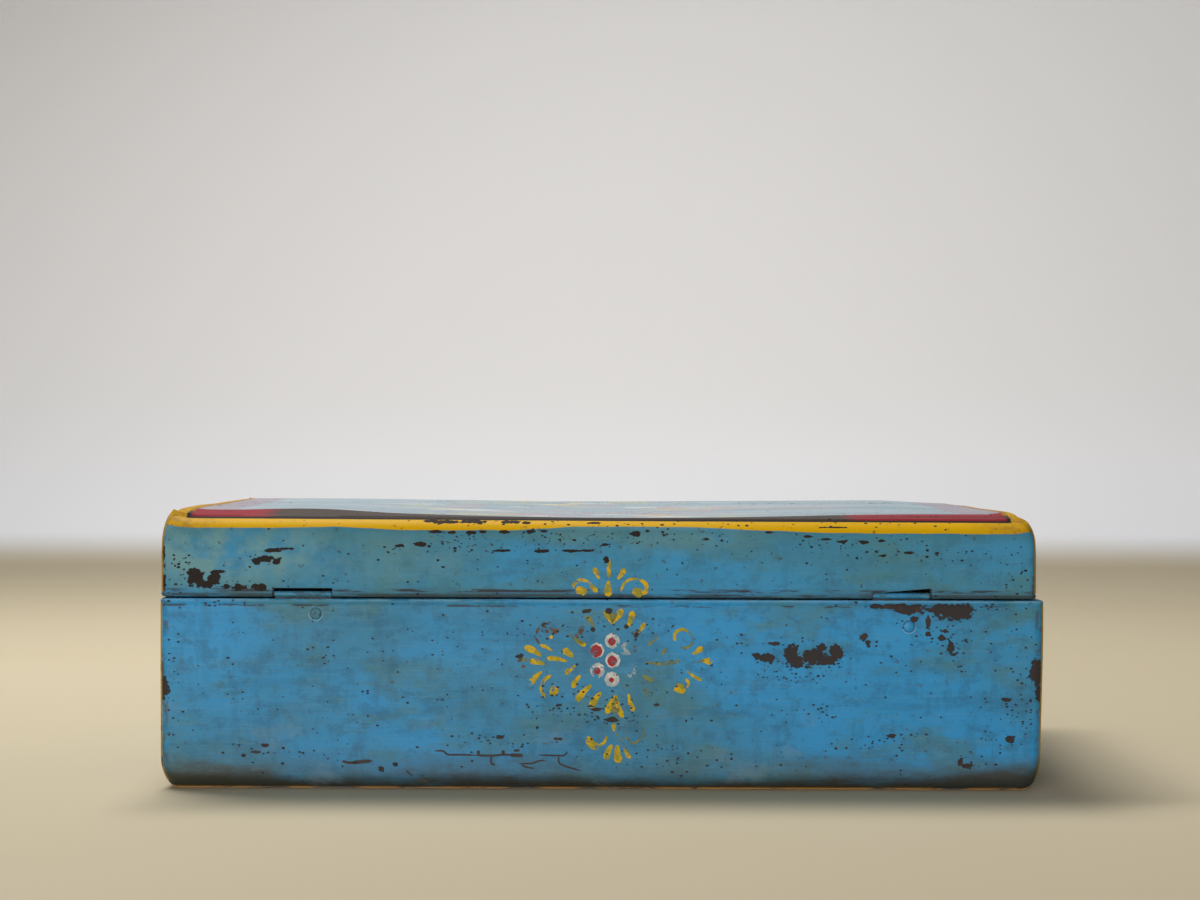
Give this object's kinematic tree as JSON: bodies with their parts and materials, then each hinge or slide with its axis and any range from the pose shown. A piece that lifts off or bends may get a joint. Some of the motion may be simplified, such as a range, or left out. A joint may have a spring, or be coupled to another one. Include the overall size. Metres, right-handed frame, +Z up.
{
  "type": "small tin trunk",
  "caption": "Low rectangular painted tin trunk with rounded edges, a rear-hinged lid, front hasp and staple, and a wire handle on each end, for papers and keepsakes.",
  "frame": {"origin": "middle of the base, on the floor plane", "axes": "+X along the trunk's length, -Y towards the hasp, +Y towards the hinges, +Z up"},
  "size_m": [0.5196, 0.3425, 0.162],
  "materials": {
    "painted_tin": "worn blue gloss paint with a yellow edge band",
    "inner_tin": "dull tin plate",
    "bare_steel": "dull steel with light rust"
  },
  "bodies": {
    "trunk": {"body_wrap": "painted_tin", "body_front_panel": "painted_tin", "body_back_panel": "painted_tin", "body_rim_wire": "bare_steel", "lip_front": "inner_tin", "lip_left": "inner_tin", "lip_right": "inner_tin", "hinge_strap_left": "inner_tin", "hinge_strap_right": "inner_tin", "hinge_rivets": "bare_steel", "staple": "bare_steel", "staple_rivets": "bare_steel", "left_clip_front": "bare_steel", "left_clip_rear": "bare_steel", "right_clip_front": "bare_steel", "right_clip_rear": "bare_steel", "left_handle_rivets": "bare_steel", "right_handle_rivets": "bare_steel"},
    "lid": {"lid_wrap": "painted_tin", "lid_front_panel": "painted_tin", "lid_back_panel": "painted_tin", "lid_rim_wire": "bare_steel", "hasp_plate": "bare_steel", "hasp_pin": "bare_steel", "hasp_rivets": "bare_steel"},
    "hasp": {"hasp_strap": "bare_steel"},
    "left_bail": {"left_handle": "bare_steel"},
    "right_bail": {"right_handle": "bare_steel"}
  },
  "joints": [
    {"name": "lid_hinge", "type": "hinge", "parent": "trunk", "child": "lid", "pos_m": [0, 0.16225, 0.11195], "axis": [-1, 0, 0], "range_deg": [0, 110]},
    {"name": "hasp_swing", "type": "hinge", "parent": "lid", "child": "hasp", "pos_m": [0, -0.1666, 0.119], "axis": [1, 0, 0], "range_deg": [0, 183]},
    {"name": "left_handle_swing", "type": "hinge", "parent": "trunk", "child": "left_bail", "pos_m": [-0.2565, 0, 0.07], "axis": [0, 1, 0], "range_deg": [0, 180]},
    {"name": "right_handle_swing", "type": "hinge", "parent": "trunk", "child": "right_bail", "pos_m": [0.2565, 0, 0.07], "axis": [0, -1, 0], "range_deg": [0, 180]}
  ]
}
